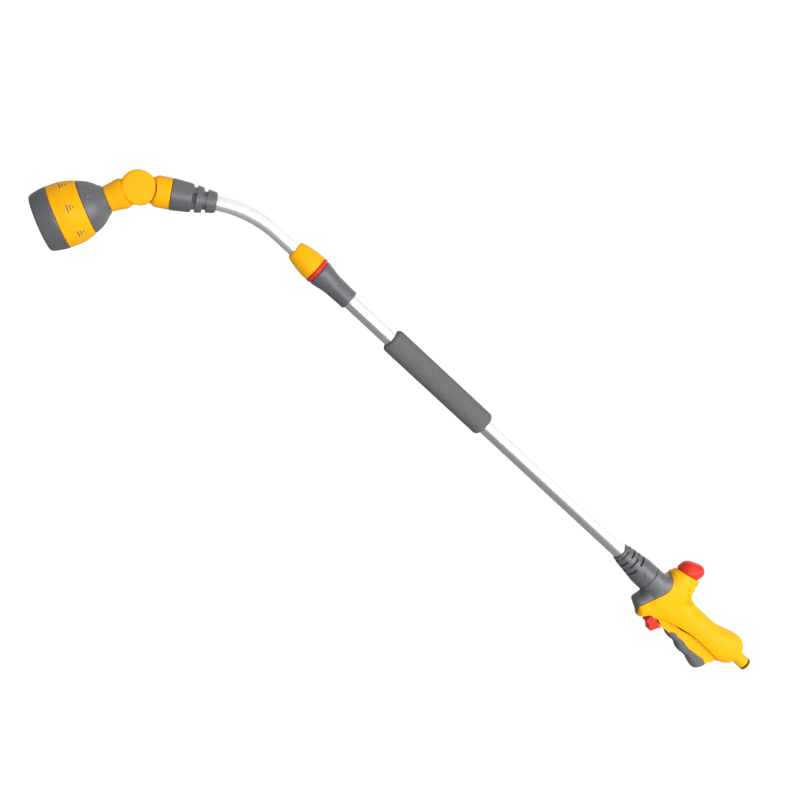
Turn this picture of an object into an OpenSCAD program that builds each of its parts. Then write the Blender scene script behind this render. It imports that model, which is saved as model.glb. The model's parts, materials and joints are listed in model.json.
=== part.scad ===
// Telescopic watering wand: pistol-grip valve handle, two-part aluminium lance,
// twist-lock collar, swivel knuckle and a turning spray head.
// Units are millimetres. +Z is up, and the head end points along -X.
// The origin is the end face of the hose tail, on the hose tail's axis. Everything is drawn
// from a datum plane that lies tail_end beyond it, and put in place at the end.

/* [Lance tubes] */
// outside diameter of the lower tube
lower_od = 19; // [16:0.5:24]
// wall of the lower tube
lower_wall = 0.9; // [0.7:0.1:1.5]
// outside diameter of the sliding upper tube
upper_od = 16.5; // [14:0.5:20]
// wall of the upper tube
upper_wall = 0.9; // [0.7:0.1:1.5]
// how far the tube axis lies below the hose tail axis
tube_drop = 3; // [0:0.5:8]
// distance from the hose tail's end to the corner of the gooseneck
bend_at = 839; // [700:1:950]
// centreline radius of the gooseneck bend
bend_r = 138; // [100:1:180]
// angle of the gooseneck bend
bend_angle = 32; // [0:1:60]

/* [Foam sleeve] */
// end of the foam sleeve nearest the handle
foam_from = 472.7; // [400:1:500]
// end of the foam sleeve nearest the collar
foam_to = 625.6; // [520:1:680]
// outside radius of the foam sleeve
foam_r = 15.1; // [12:0.1:20]

/* [Twist lock collar] */
// handle end of the collar body
collar_from = 690.5; // [650:0.5:720]
// largest radius of the collar
collar_r = 16.2; // [14:0.1:20]

/* [Hose tail] */
// radius of the hose tail that the hose coupling grips
tail_r = 8; // [7:0.1:10]
// distance from the datum plane to the hose tail's end face
tail_end = 5.4; // [0:0.1:10]
// length of the hose tail outside the handle
tail_len = 19.5; // [15:0.5:30]
// radius of the water way in the hose tail
tail_bore_r = 4.6; // [3:0.1:6]

/* [Handle] */
// wall thickness of the moulded handle
wall = 2.6; // [1.8:0.1:4]
// forward lean of the flow knob's axis
deck_tilt = 12.3; // [0:0.1:25]
// half width of the trigger lever
lever_hw = 8.8; // [7:0.1:11]
// radius of the flow knob
knob_r = 14.8; // [12:0.1:18]

/* [Spray head] */
// bend between the gooseneck and the spray head
head_angle = 31.3; // [0:0.1:60]
// distance from the gooseneck corner to the head's pivot
pivot_at = 124.4; // [110:0.1:150]
// radius of the knuckle discs
knuckle_r = 19.2; // [15:0.1:24]
// half width of the knuckle
knuckle_hw = 15; // [11:0.1:20]
// largest radius of the head
head_r = 35; // [28:0.5:50]
// thickness of the head's moulded walls
head_wall = 2.2; // [1.5:0.1:3.5]
// holes in the outer ring of the rose
rose_holes = 30; // [18:1:40]
// spray patterns round the head
patterns = 7; // [5:1:9]

/* [Hidden] */
$fn = 96;
eps = 0.01;
gap = 0.35;
fit = 0.05;
tz = -tube_drop;
lower_r = lower_od / 2;
lower_ir = lower_r - lower_wall;
upper_r = upper_od / 2;
upper_ir = upper_r - upper_wall;
bend_tan = bend_r * tan(bend_angle / 2);
deck_x = -149.2;
deck_z = 35.8;
pipe_z = tube_drop;
valve_x = -113;
flow_x = -141.4;
lever_px = -138;
lever_pz = -24;
lock_px = -149.6;
lock_pz = -29.6;
pin_r = 2;
fork_y = lever_hw + 0.3;
fork_w = 1.5;
lock_hw = 7.6;
step = 360 / patterns;
neck_r = 7.4;
flow_body_r = 9.6;
flow_bore_r = 7;

// ---------------------------------------------------------------- helpers

// moves a part from the datum plane to its place
module placed() {
    translate([tail_end, 0, 0]) children();
}

// a point on a smooth curve between p1 and p2
function curve_pt(p0, p1, p2, p3, t) = 0.5 * (2 * p1 + (p2 - p0) * t
    + (2 * p0 - 5 * p1 + 4 * p2 - p3) * t * t + (3 * p1 - p0 - 3 * p2 + p3) * t * t * t);

// a smooth open curve through the rows of p, n steps a row
function smooth(p, n) = concat([for (i = [0 : len(p) - 2]) for (k = [0 : n - 1])
    curve_pt(p[max(i - 1, 0)], p[i], p[i + 1], p[min(i + 2, len(p) - 1)], k / n)], [p[len(p) - 1]]);

function spow(v, p) = sign(v) * pow(abs(v), p);

// a rounded oval, hw by hh, squarer as p falls below 1
function oval(hw, hh, p, n) = [for (i = [0 : n - 1]) let (a = 360 * i / n)
    [hw * spow(cos(a), p), hh * spow(sin(a), p)]];

// children on the tube's axis, local Z running towards the head
module on_tube() {
    translate([0, 0, tz]) rotate([0, -90, 0]) children();
}

// children on the gooseneck's arm, local Z from the bend's corner to the head
module on_arm() {
    translate([-bend_at, 0, tz]) rotate([0, -90 - bend_angle, 0]) children();
}

// children at the head's pivot, local Z along the head's axis, local Y along the pivot
module on_head() {
    on_arm() translate([0, 0, pivot_at]) rotate([0, -head_angle, 0]) children();
}

// children on the deck under the flow knob, local Z out of the deck
module on_deck() {
    translate([deck_x, 0, tz + deck_z]) rotate([0, -deck_tilt, 0]) children();
}

// a cylinder across the handle, from y0 to y1
module cross_pin(x, z, r, y0, y1) {
    translate([x, y0, z + tz]) rotate([-90, 0, 0]) cylinder(r = r, h = y1 - y0);
}

// a side outline drawn in x and z, as thick as y0 to y1
module side_plate(p, y0, y1) {
    translate([0, y1, tz]) rotate([90, 0, 0]) linear_extrude(y1 - y0) polygon(p);
}

// a cylinder along X from xa down to xb
module run_x(xa, xb, z, r) {
    translate([xa, 0, z + tz]) rotate([0, -90, 0]) cylinder(r = r, h = xa - xb);
}

// a ring of round section
module o_ring(rc, rw) {
    rotate_extrude() translate([rc, 0]) circle(r = rw, $fn = 32);
}

// part of a turned ring: inner radius, outer radius, from z0 to z1, from angle a0 for da
module sector(ri, ro, z0, z1, a0, da) {
    rotate([0, 0, a0]) rotate_extrude(angle = da) translate([ri, z0]) square([ro - ri, z1 - z0]);
}

// a skin over a row of closed outlines, all with the same number of points
module loft(rings) {
    n = len(rings[0]);
    m = len(rings);
    polyhedron(points = [for (r = rings) for (p = r) p], faces = concat(
        [[for (j = [n - 1 : -1 : 0]) j], [for (j = [0 : n - 1]) (m - 1) * n + j]],
        [for (i = [0 : m - 2]) for (j = [0 : n - 1]) [i * n + j, (i + 1) * n + (j + 1) % n, (i + 1) * n + j]],
        [for (i = [0 : m - 2]) for (j = [0 : n - 1]) [i * n + j, i * n + (j + 1) % n, (i + 1) * n + (j + 1) % n]]));
}

// a coil of round wire standing on z = 0
module coil(rc, rw, h, turns) {
    steps = 14 * turns;
    loft([for (i = [0 : steps]) let (a = 360 * turns * i / steps) [for (j = [0 : 5]) let (q = 60 * j)
        [(rc + rw * cos(q)) * cos(a), (rc + rw * cos(q)) * sin(a), rw + rw * sin(q) + (h - 2 * rw) * i / steps]]]);
}

// ---------------------------------------------------------------- handle outline

// grip sections: x, top z, bottom z, half width
grip_rows = [[-24.9, 12, -5.6, 9], [-25.8, 14.2, -7.2, 10.6], [-28.3, 17.8, -10.4, 12.8],
    [-32, 21.1, -13.9, 14.8], [-37, 23.2, -16.6, 16.2], [-43, 23.4, -19.2, 16.8],
    [-51, 22, -21.5, 16.8], [-62, 18.8, -22.5, 16.3], [-70, 16.3, -22.8, 15.9],
    [-78, 14.9, -23, 15.6], [-90, 14.5, -24, 15.6], [-105, 14.8, -26, 16],
    [-115, 15.1, -28, 16.6], [-126, 17, -30, 17.2], [-140, 17, -32, 17.4]];

// tower sections: z, front x, rear x, half width
tower_rows = [[-43.4, -163.6, -152, 9.2], [-39.4, -166.6, -148, 12], [-32, -167.5, -142, 13.8],
    [-22, -167.5, -133, 15.6], [-8, -167, -124.5, 17.2], [6, -167, -122, 17.9],
    [14, -167.4, -123.5, 17.8], [20, -167.9, -128.4, 17.5], [27, -168, -130.7, 17.2]];

// chin sections in front of the trigger lock: z, front x, rear x, half width
chin_rows = [[-43.8, -162.5, -156.5, 8.5], [-42.6, -164.5, -154.5, 9.8], [-39, -169, -151, 12],
    [-35, -177.2, -148, 13.2], [-30.7, -183.2, -145, 13.9], [-20.5, -180.8, -141, 15.3],
    [-15, -180.2, -141, 15.8]];

// saddle sections round the tube socket: x, top z, bottom z, half width
saddle_rows = [[-144, 26, -34, 17.9], [-161, 26, -34, 17.6], [-166.5, 23.2, -30, 17.4],
    [-168.4, 20.2, -24, 17.4], [-171, 17.9, -20, 17.3], [-175.6, 17.25, -17.25, 17.25],
    [-186.9, 17.15, -17.15, 17.15]];

// the edge between the grey saddle and the yellow shells, x and z
saddle_edge = smooth([[-167.1, 23.4], [-167.2, 21.4], [-163.8, 17.6], [-161, 11.6], [-160.2, 5.4],
    [-162, -2.2], [-165.3, -10], [-168.3, -19.5], [-171.2, -27], [-173.8, -34.1]], 3);

// the lower rim of the shells, x and z
rim = smooth([[-163, -43.2], [-157, -34.2], [-151, -31.2], [-145, -29.4], [-136, -25.5],
    [-124.5, -21.7], [-112.5, -19], [-97, -16.5], [-85, -15.6], [-64, -15.7], [-49, -16.9]], 3);

// a skin along X through sections of x, top z, bottom z and half width
module skin_x(rows, grow, n = 36) {
    loft([for (r = rows) [for (q = oval(r[3] + grow, (r[1] - r[2]) / 2 + grow, 0.84, n))
        [r[0], q[0], (r[1] + r[2]) / 2 + tz + q[1]]]]);
}

// a skin along Z through sections of z, front x, rear x and half width
module skin_z(rows, grow, n = 40) {
    loft([for (r = rows) [for (q = oval((r[2] - r[1]) / 2 + grow, r[3] + grow, 0.74, n))
        [(r[1] + r[2]) / 2 + q[0], -q[1], r[0] + tz]]]);
}

// the leaning deck that the knob turns on
module deck_cap(g, lift) {
    hull() {
        translate([deck_x, 0, tz + 22]) linear_extrude(3) polygon(oval(18.3 + g, 16.8 + g, 0.78, 40));
        on_deck() translate([0, 0, -2.2 + lift]) linear_extrude(0.6) polygon(oval(17.8 + g, 16.4 + g, 0.92, 40));
        on_deck() translate([0, 0, lift - 0.4]) linear_extrude(0.4) polygon(oval(16.5 + g, 15.3 + g, 0.95, 40));
    }
}

module handle_outer() {
    skin_x(grip_rows, 0);
    skin_z(tower_rows, 0);
    skin_z(chin_rows, 0);
    skin_x(saddle_rows, 0);
    deck_cap(0, 0);
}

module handle_hollow() {
    skin_x([for (r = grip_rows) if (r[0] < -28) r], -wall);
    skin_z([for (r = tower_rows) if (r[0] > -45) r], -wall);
    skin_z([for (r = chin_rows) if (r[0] > -40) r], -wall);
    skin_x(saddle_rows, -wall);
    deck_cap(-wall, -wall);
}

// a drafted screw boss across the handle
module boss(s) {
    hull() {
        cross_pin(s[0], s[1], 3, -8, 8, $fn = 20);
        cross_pin(s[0], s[1], 3.6, -14, 14, $fn = 20);
    }
}

// a short moulded groove on one side, y being its middle depth
module comfort_groove(k, side) {
    reach = [3.4, 5, 4, 2.8][k];
    for (y = [17.6 * side]) hull() for (z = [-reach, reach])
        cross_pin(-138 + 4.3 * k + z * 0.14, [15.5, 12.8, 11.8, 10.4][k] + z, 0.6, y - 1.3, y + 1.3, $fn = 12);
}

// everything in front of the saddle's edge
module saddle_side(shift) {
    side_plate(concat([for (p = saddle_edge) [p[0] + shift, p[1]]],
        [[-162.9 + shift, -43.4], [-162.9 + shift, -60], [-260, -60], [-260, 23.4]]), -40, 40);
}

// everything under the rim of the shells
module under_rim() {
    side_plate(concat(rim, [[-48.4, -18.2], [-46.4, -18.8], [-46.4, -70], [-163, -70]]), -40, 40);
    side_plate([[-146, -45], [-46.4, -45], [-46.4, -11], [-100, -12.4], [-146, -16]], -lever_hw - gap, lever_hw + gap);
}

// the side of the fork that carries the lever's pin and the lock's pin
module fork_side(g, y0, y1) {
    hull() {
        cross_pin(lever_px, lever_pz, 3.4 + g, y0, y1, $fn = 40);
        cross_pin(lock_px, lock_pz, 3 + g, y0, y1, $fn = 40);
        cross_pin(-142, -15, 4 + g, y0, y1, $fn = 40);
    }
}

// screw places, x and z
screw_rows = [[-44, 16], [-38.5, -10.5], [-158, -24], [-96, -7.2]];

module shell_half(side) {
    y0 = side < 0 ? -40 : 0;
    difference() {
        intersection() {
            difference() {
                handle_outer();
                difference() {
                    handle_hollow();
                    for (s = screw_rows) boss(s);
                }
            }
            translate([-200, y0, -80]) cube([200, 40, 160]);
        }
        saddle_side(0);
        under_rim();
        // the seat of the hose tail
        run_x(-15, -25.1, pipe_z, tail_r + fit);
        run_x(-20, -42, pipe_z, neck_r + fit);
        run_x(-28.7, -32.7, pipe_z, 10.3);
        fork_side(gap, -fork_y - fork_w - gap, fork_y + fork_w + gap);
        // the knob's spindle
        on_deck() translate([0, 0, -10]) cylinder(r = 8.2, h = 20, $fn = 36);
        // screws: a clearance hole and head pocket on the far side, a pilot on the near side
        for (s = screw_rows) {
            cross_pin(s[0], s[1], side < 0 ? 1.65 : 1.75, -9, 30, $fn = 24);
            cross_pin(s[0], s[1], 3, 7, 30, $fn = 24);
        }
        children();
    }
}

// ---------------------------------------------------------------- handle

module hose_tail() {
    color([1, 0.75, 0.05]) translate([-tail_end, 0, 0]) rotate([0, -90, 0]) difference() {
        union() {
            cylinder(r = tail_r, h = tail_len);
            cylinder(r = neck_r, h = 31);
            translate([0, 0, 23.4]) cylinder(r = 10.1, h = 3.6);
        }
        // groove for the O-ring
        translate([0, 0, 1.4]) rotate_extrude() translate([6.1, 0]) square([4, 3]);
        // water way, flared at the mouth, and the seat of the inlet pipe
        translate([0, 0, -1]) cylinder(r = tail_bore_r, h = 40);
        translate([0, 0, -eps]) cylinder(r1 = tail_bore_r + 1, r2 = tail_bore_r, h = 1);
        translate([0, 0, 25]) cylinder(r = 6.05, h = 8);
    }
}

module hose_tail_o_ring() {
    color([0.12, 0.12, 0.12]) translate([-tail_end, 0, 0]) rotate([0, -90, 0]) translate([0, 0, 1.5])
        rotate_extrude() polygon([[6.15, 0.2], [6.6, 0], [7.3, 0], [8, 0.9], [8, 1.9], [7.3, 2.8], [6.6, 2.8], [6.15, 2.6]]);
}

module handle_shell_near() {
    color([1, 0.75, 0.05]) shell_half(-1) {
        // short comfort grooves behind the tower
        for (k = [0 : 3]) comfort_groove(k, -1);
        cross_pin(-141.4, 21.7, 1, -20, -16.4, $fn = 20);
    }
}

module handle_shell_far() {
    color([1, 0.75, 0.05]) shell_half(1) {
        for (k = [0 : 3]) comfort_groove(k, 1);
        cross_pin(-141.4, 21.7, 1, 16.4, 20, $fn = 20);
    }
}

module shell_screws() {
    color([0.6, 0.6, 0.62]) for (s = screw_rows) difference() {
        union() {
            cross_pin(s[0], s[1], 1.6, -8.6, 8, $fn = 48);
            cross_pin(s[0], s[1], 2.8, 7.1, 9, $fn = 48);
        }
        cross_pin(s[0], s[1], 1.1, 7.9, 10, $fn = 6);
    }
}

// the grey front of the handle: saddle round the tube socket, and chin in front of the trigger lock
module front_saddle() {
    color([0.42, 0.43, 0.45]) difference() {
        intersection() {
            union() {
                skin_x(saddle_rows, 0);
                skin_z(chin_rows, 0);
            }
            saddle_side(-0.15);
        }
        handle_hollow();
        // the opening for the tube and for the lock
        run_x(-170, -190, 0, 14.6);
        translate([-155, -lock_hw - 1, tz - 60]) cube([30, 2 * lock_hw + 2, 30]);
    }
}

// strain relief with staggered ring slots round the lower tube's end
module tube_socket() {
    color([0.42, 0.43, 0.45]) on_tube() difference() {
        rotate_extrude() polygon([[lower_r + fit, 181], [14.5, 181], [14.5, 187.1], [16.8, 187.1],
            [17.15, 187.6], [17.1, 190], [16.8, 201], [15.9, 206.5], [15.1, 212], [14.1, 220], [13.1, 228],
            [12, 233], [11, 236.6], [10.5, 237.2], [10, 236.4], [lower_r + fit, 234]]);
        for (k = [0 : 3]) for (j = [0 : 3])
            sector(11.5 - 0.45 * k, 18, 209.3 + 7.4 * k, 211.7 + 7.4 * k, 90 * j + (k % 2) * 45 + 12, 66);
        // shallow oval thumb marks
        for (a = [-100, 100]) rotate([0, 0, a])
            translate([19.2, 0, 199.5]) rotate([-58, 0, 0]) translate([0, 0, -6]) cylinder(r = 3.2, h = 12, $fn = 32);
    }
}

module inlet_pipe() {
    color([0.85, 0.85, 0.83]) difference() {
        run_x(-30.7, -106.4, pipe_z, 6);
        run_x(-20, -110, pipe_z, 4.5);
    }
}

// vertical valve that the trigger lifts
module trigger_valve_body() {
    color([0.85, 0.85, 0.83]) difference() {
        union() {
            translate([valve_x, 0, tz - 13.5]) cylinder(r = 8, h = 23.1);
            run_x(-99, valve_x, pipe_z, 7.6);
            run_x(valve_x, -131.2, -4, 5.4);
        }
        translate([valve_x, 0, tz - 1]) cylinder(r = 5.9, h = 9.6);
        translate([valve_x, 0, tz - 4]) cylinder(r = 3.9, h = 4);
        translate([valve_x, 0, tz - 10.5]) cylinder(r = 6, h = 7);
        translate([valve_x, 0, tz - 14]) cylinder(r = 2.55, h = 6);
        run_x(-97, -106.6, pipe_z, 6.05);
        run_x(-97, valve_x, pipe_z + 1.2, 3.2);
        run_x(valve_x, -132, -5.5, 3);
    }
}

module valve_stem() {
    color([0.75, 0.6, 0.3]) {
        translate([valve_x, 0, tz - 19.9]) cylinder(r1 = 1.2, r2 = 2.5, h = 1.4);
        translate([valve_x, 0, tz - 18.5]) cylinder(r = 2.5, h = 14.5);
        translate([valve_x, 0, tz - 4]) cylinder(r = 2, h = 4.6);
        translate([valve_x, 0, tz + 0.6]) cylinder(r = 4.8, h = 1.4);
        translate([valve_x, 0, tz + 2]) cylinder(r = 2.2, h = 2.2);
    }
}

module valve_seal() {
    color([0.12, 0.12, 0.12]) translate([valve_x, 0, tz - 0.9]) difference() {
        cylinder(r = 5.2, h = 1.45);
        translate([0, 0, -1]) cylinder(r = 2.05, h = 4);
    }
}

module valve_spring() {
    color([0.7, 0.7, 0.72]) translate([valve_x, 0, tz + 2.1]) coil(3.6, 0.4, 6.4, 4);
}

// flow valve under the knob; its front spigot feeds the lance
module flow_valve_body() {
    color([0.85, 0.85, 0.83]) difference() {
        union() {
            on_deck() translate([0, 0, -46.5]) cylinder(r = flow_body_r, h = 39.5);
            run_x(flow_x, -199, 0, 8.2);
            run_x(-125.6, flow_x, -4, 7);
        }
        on_deck() translate([0, 0, -44]) cylinder(r = flow_bore_r, h = 40);
        run_x(flow_x, -200, 0, 5.2);
        run_x(-125, -131.4, -4, 5.45);
        run_x(-130, flow_x, -4, 4);
        // groove for the tube seal
        on_tube() translate([0, 0, 193]) rotate_extrude() translate([6.7, 0]) square([4, 2.2]);
    }
}

module tube_seal() {
    color([0.12, 0.12, 0.12]) on_tube() translate([0, 0, 194.1]) o_ring(7.65, 0.92);
}

module flow_spindle() {
    color([0.3, 0.3, 0.32]) difference() {
        on_deck() {
            translate([0, 0, -43.7]) cylinder(r = flow_bore_r - fit, h = 31);
            translate([0, 0, -13]) cylinder(r = 5, h = 19.4);
        }
        run_x(-120, -165, -1.6, 4.8);
        on_deck() translate([0, 0, -20]) rotate_extrude() translate([flow_bore_r - 1.4, 0]) square([3, 2.4]);
    }
}

module spindle_o_ring() {
    color([0.12, 0.12, 0.12]) on_deck() translate([0, 0, -18.8]) o_ring(flow_bore_r - 0.72, 0.62);
}

// thumb-shaped flow knob, higher at the back
module flow_knob() {
    color([0.92, 0.2, 0.16]) difference() {
        intersection() {
            hull() {
                on_deck() translate([0, 0, gap]) cylinder(r = knob_r - 0.5, h = 0.8, $fn = 64);
                on_deck() translate([0, 0, gap + 1.4]) cylinder(r = knob_r, h = 3.2, $fn = 64);
                for (y = [-3, 3]) translate([-144, y, tz + 46.3]) sphere(r = 9.4, $fn = 40);
                for (y = [-1.8, 1.8]) translate([-153.3, y, tz + 39.4]) sphere(r = 12, $fn = 40);
            }
            on_deck() translate([-30, -30, gap]) cube([60, 60, 40]);
        }
        on_deck() translate([0, 0, -1]) cylinder(r = 5.05, h = 7.6, $fn = 48);
        on_deck() translate([0, 0, gap - 1]) difference() {
            cylinder(r = knob_r - 2.4, h = 4.4, $fn = 64);
            translate([0, 0, -1]) cylinder(r = 7.4, h = 7, $fn = 48);
        }
    }
}

// fork that carries the lever's pin and the lock's pin
module trigger_yoke() {
    color([1, 0.72, 0.06]) difference() {
        union() {
            fork_side(0, -fork_y - fork_w, -fork_y);
            fork_side(0, fork_y, fork_y + fork_w);
            translate([-146, -fork_y - 0.5, tz - 15.6]) cube([8, 2 * fork_y + 1, 2.6]);
        }
        cross_pin(lever_px, lever_pz, pin_r + fit, -13, 13);
        cross_pin(lock_px, lock_pz, pin_r + fit, -13, 13);
        on_deck() translate([0, 0, -46.6]) cylinder(r = flow_body_r + fit, h = 39.5);
        run_x(-125.6, flow_x, -4, 7.05);
    }
}

module trigger_pin() {
    color([0.7, 0.7, 0.72]) cross_pin(lever_px, lever_pz, pin_r, -fork_y - fork_w - 0.2, fork_y + fork_w + 0.2);
}

module lock_pin() {
    color([0.7, 0.7, 0.72]) cross_pin(lock_px, lock_pz, pin_r, -fork_y - fork_w - 0.2, fork_y + fork_w + 0.2);
}

// the lever's lower edge where the soft grip wraps it, x and z
pad_core = [[-122.9, -33.2], [-113.5, -32.4], [-103.5, -33], [-95.5, -35.4], [-82, -35.4], [-74, -37.8],
    [-66, -39.2], [-59, -36], [-55, -31.5], [-52.6, -29.4]];

// outline of the trigger lever, x and z, clockwise from the pivot
lever_line = concat(smooth([[-143.1, -24.2], [-141.6, -20.4], [-138, -18.9], [-131, -19.4], [-121, -20.4],
    [-109, -20.5], [-98, -17.6], [-80, -15], [-64, -14.6], [-52, -15.6], [-48.2, -17.4], [-47, -19.6],
    [-47.3, -23], [-50, -26.4], [-52.6, -29.4]], 3),
    [for (i = [len(pad_core) - 2 : -1 : 0]) pad_core[i]],
    smooth([[-123.9, -33.3], [-131, -33.1], [-138.6, -31.2], [-142.4, -28.4]], 3));

module trigger_lever() {
    color([1, 0.72, 0.06]) difference() {
        side_plate(lever_line, -lever_hw, lever_hw);
        // hollow from above, with a rib left under the valve stem
        side_plate([[-106, -10], [-106, -27.5], [-97, -30.5], [-76, -31], [-64, -33], [-55.5, -25], [-52.5, -10]],
            -lever_hw + 2.2, lever_hw - 2.2);
        side_plate([[-132, -10], [-131, -27.5], [-120, -28.6], [-120, -10]], -lever_hw + 2.2, lever_hw - 2.2);
        cross_pin(lever_px, lever_pz, pin_r + fit, -20, 20);
    }
}

// soft grip sections: x, top z, bottom z, half width
pad_rows = [[-122.6, -33.1, -34.2, 7.6], [-119.5, -29, -35, 9.2], [-115.5, -26.4, -36.3, 10],
    [-111, -25.4, -36.8, 10.3], [-105.5, -26.9, -36.4, 10.3], [-100, -26.1, -37.2, 10.3],
    [-95.5, -25.3, -39.8, 10.3], [-90, -26.8, -40.9, 10.3], [-84, -27.7, -40.6, 10.3],
    [-78, -27, -40.3, 10.3], [-71, -25.8, -42.6, 10.3], [-64, -24, -44.5, 10.3],
    [-60, -23.5, -44.7, 10.3], [-56.5, -24.4, -42.6, 9.8], [-53.6, -26.6, -37, 9], [-52, -28.6, -30, 7.6]];

module trigger_pad() {
    color([0.4, 0.41, 0.42]) difference() {
        skin_x([for (i = [len(pad_rows) - 1 : -1 : 0]) pad_rows[i]], 0, 28);
        side_plate(concat([[-124, -10], [-124, -33.6]], [for (p = pad_core) [p[0], p[1] - 0.1]],
            [[-49.8, -26.5], [-46, -20], [-46, -10]]), -lever_hw - fit, lever_hw + fit);
    }
}

// outline of the red catch, x and z
lock_line = concat([[-152, -29.8], [-148, -29.4]], smooth([[-144.5, -30.4], [-139, -32.9],
    [-131, -34.3]], 3), smooth([[-130.8, -35.2], [-133.9, -38.8], [-136.2, -43.4], [-137.6, -46.2],
    [-139.6, -46.8], [-142, -44.9], [-146, -41.9], [-150, -41.9]], 3), [[-151, -41], [-152.4, -34.5]]);

module trigger_lock() {
    color([0.9, 0.18, 0.14]) difference() {
        union() {
            side_plate(lock_line, -lock_hw, lock_hw);
            cross_pin(lock_px, lock_pz, 3.4, -lock_hw, lock_hw);
        }
        cross_pin(lock_px, lock_pz, pin_r + fit, -20, 20);
    }
}

// ---------------------------------------------------------------- lance

module lower_tube() {
    color([0.82, 0.83, 0.85]) on_tube() translate([0, 0, 186]) difference() {
        cylinder(r = lower_r, h = 559);
        translate([0, 0, -1]) cylinder(r = lower_ir, h = 561);
    }
}

module foam_sleeve() {
    color([0.36, 0.37, 0.37]) on_tube() rotate_extrude() difference() {
        union() {
            translate([lower_r + fit, foam_from + 4]) square([foam_r - lower_r - fit, foam_to - foam_from - 8]);
            translate([lower_r + fit, foam_from]) square([foam_r - 4 - lower_r - fit, foam_to - foam_from]);
            translate([foam_r - 4, foam_from + 4]) circle(r = 4);
            translate([foam_r - 4, foam_to - 4]) circle(r = 4);
        }
        translate([0, foam_from - 1]) square([lower_r + fit, foam_to - foam_from + 2]);
    }
}

// grey collar body with a threaded sleeve that the nut closes
module collar_body() {
    color([0.42, 0.43, 0.45]) on_tube() difference() {
        rotate_extrude() polygon([[lower_r + fit, collar_from], [11.3, collar_from], [11.8, collar_from + 0.5],
            [11.8, 700], [12, 705], [12.3, 715], [13, 722], [14.3, 728], [15.2, 733], [15.6, 736.5],
            [15.2, 737.8], [14, 738.4], [12.6, 738.4], [12.6, 743.4], [11.4, 743.4], [11.4, 762],
            [10.2, 762], [8.7, 757], [8.7, 745.6], [lower_r + fit, 745.6]]);
        for (a = [-112, -62, -22, 22, 62, 112, 158, 202]) rotate([0, 0, a])
            translate([collar_r - 1.6, 0, 716.5]) rotate([0, 8, 0]) {
                cylinder(r = 1.9, h = 8, $fn = 32);
                sphere(r = 1.9, $fn = 32);
                translate([0, 0, 8]) sphere(r = 1.9, $fn = 32);
            }
    }
}

module collar_ring() {
    color([0.92, 0.2, 0.16]) on_tube() rotate_extrude()
        polygon([[12.65, 738.6], [15.5, 738.6], [collar_r, 739.3], [collar_r, 742.4], [15.5, 743.1], [12.65, 743.1]]);
}

module collar_nut() {
    color([1, 0.75, 0.05]) on_tube() difference() {
        rotate_extrude() polygon([[11.75, 743.8], [15.6, 743.8], [16, 744.3], [16, 747], [15.8, 751],
            [15.1, 757], [14.2, 762.5], [13, 768], [12.1, 771.5], [11.2, 773.9], [9.8, 775],
            [upper_r + gap, 775], [upper_r + gap, 771.4], [11.75, 766.5]]);
        // a shallow arrow notch each side shows the twist
        for (a = [-90, 90]) rotate([0, 0, a]) translate([15.4, 0, 751]) sphere(r = 1.3, $fn = 32);
    }
}

// split gland that the nut squeezes onto the upper tube
module collet() {
    color([0.2, 0.2, 0.21]) on_tube() difference() {
        rotate_extrude() polygon([[upper_r + gap, 758.6], [8.9, 758.2], [9.9, 762.4], [11.2, 762.4],
            [11.2, 766], [9.2, 770.4], [upper_r + gap, 770.4]]);
        for (a = [0 : 60 : 359]) rotate([0, 0, a]) translate([9.6, -0.5, 763.4]) cube([4, 1, 10]);
    }
}

module piston_bush() {
    color([0.3, 0.3, 0.32]) on_tube() difference() {
        union() {
            translate([0, 0, 250]) cylinder(r = lower_ir - fit, h = 11.6);
            translate([0, 0, 250]) cylinder(r = upper_ir - 0.08, h = 27);
        }
        translate([0, 0, 249]) cylinder(r = 5.8, h = 30);
        translate([0, 0, 254.6]) rotate_extrude() translate([7, 0]) square([3, 2.6]);
    }
}

module piston_o_ring() {
    color([0.12, 0.12, 0.12]) on_tube() translate([0, 0, 255.9]) o_ring(7.8, 0.76);
}

// a solid bar along the upper tube's centreline, longer by over at each end; past the bend,
// inside the socket, the tube is swaged a little thinner
module tube_bar(r, over) {
    on_tube() translate([0, 0, 262 - over]) cylinder(r = r, h = bend_at - bend_tan - 262 + over);
    translate([-bend_at + bend_tan, 0, tz - bend_r]) rotate([90, 0, 0]) rotate([0, 0, 90])
        rotate_extrude(angle = bend_angle) translate([bend_r, 0]) circle(r = r);
    on_arm() translate([0, 0, bend_tan - 1.5]) cylinder(r = r - 0.3, h = 96.5 - bend_tan + over);
}

module upper_tube() {
    color([0.8, 0.81, 0.83]) difference() {
        tube_bar(upper_r, 0);
        tube_bar(upper_ir, 1);
    }
}

// ---------------------------------------------------------------- knuckle

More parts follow.
